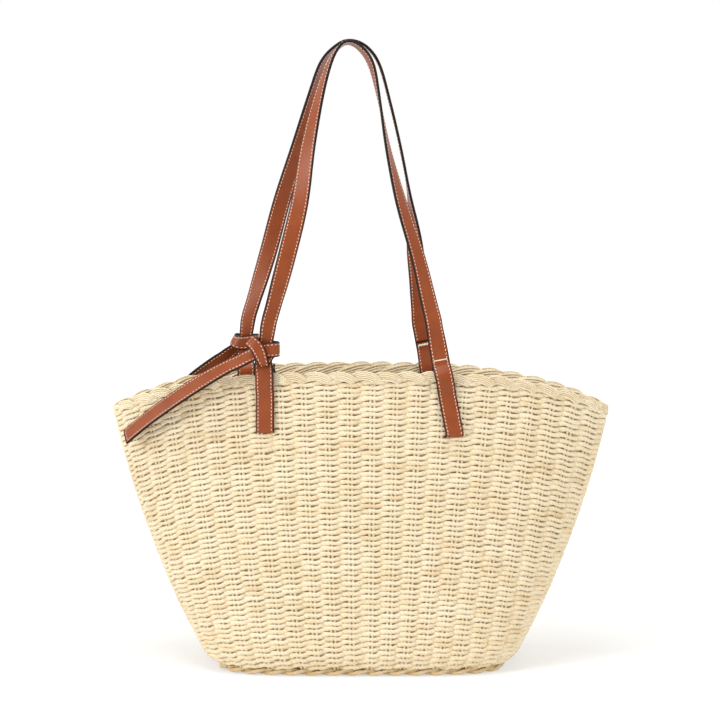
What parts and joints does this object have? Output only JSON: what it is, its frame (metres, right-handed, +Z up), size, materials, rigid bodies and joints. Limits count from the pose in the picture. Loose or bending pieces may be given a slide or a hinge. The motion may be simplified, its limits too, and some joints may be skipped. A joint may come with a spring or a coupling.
{
  "type": "beach bag",
  "caption": "Woven straw tote with a flared body, scalloped rim and leather strap handles, sewn at one foot and knotted with a free tail at the other.",
  "frame": {"origin": "under the middle of the base, on the surface that the bag stands on", "axes": "+Z up, +X to the right along the mouth's width, +Y to the back"},
  "size_m": [0.4744, 0.1378, 0.5914],
  "materials": {
    "straw_base": "woven twisted paper straw, natural",
    "straw_edging": "two straw cords twisted together",
    "straw_wall": "plain weave of twisted paper straw, natural",
    "straw_border": "straw stakes bent into scallops",
    "leather_face": "smooth tan leather, black painted edges",
    "leather_backing": "smooth tan leather, black painted edges",
    "thread": "white sewing thread"
  },
  "bodies": {
    "bag": {"base_panel": "straw_base", "base_edging": "straw_edging", "woven_wall": "straw_wall", "rim_border": "straw_border", "front_sewn_loop_face": "leather_face", "front_sewn_loop_backing": "leather_backing", "front_bar_tack": "thread", "front_tied_loop_face": "leather_face", "front_tied_loop_backing": "leather_backing", "front_knot_face": "leather_face", "front_knot_backing": "leather_backing", "back_sewn_loop_face": "leather_face", "back_sewn_loop_backing": "leather_backing", "back_bar_tack": "thread", "back_tied_loop_face": "leather_face", "back_tied_loop_backing": "leather_backing", "back_knot_face": "leather_face", "back_knot_backing": "leather_backing"},
    "front_handle": {"front_arch_face": "leather_face", "front_arch_backing": "leather_backing"},
    "back_handle": {"back_arch_face": "leather_face", "back_arch_backing": "leather_backing"},
    "front_tail": {"front_tail_face": "leather_face", "front_tail_backing": "leather_backing"},
    "back_tail": {"back_tail_face": "leather_face", "back_tail_backing": "leather_backing"}
  },
  "joints": [
    {"name": "front_handle_fold", "type": "hinge", "parent": "bag", "child": "front_handle", "pos_m": [0, -0.05431, 0.322], "axis": [1, 0, 0], "range_deg": [0, 175]},
    {"name": "back_handle_fold", "type": "hinge", "parent": "bag", "child": "back_handle", "pos_m": [0, 0.0534, 0.322], "axis": [-1, 0, 0], "range_deg": [0, 175]},
    {"name": "front_tail_lift", "type": "hinge", "parent": "bag", "child": "front_tail", "pos_m": [-0.11038, -0.05509, 0.29572], "axis": [-0.3824, 0.5772, 0.7215], "range_deg": [0, 60]},
    {"name": "back_tail_lift", "type": "hinge", "parent": "bag", "child": "back_tail", "pos_m": [-0.13323, 0.05205, 0.29045], "axis": [0.4849, 0.5463, -0.6829], "range_deg": [0, 60]}
  ]
}
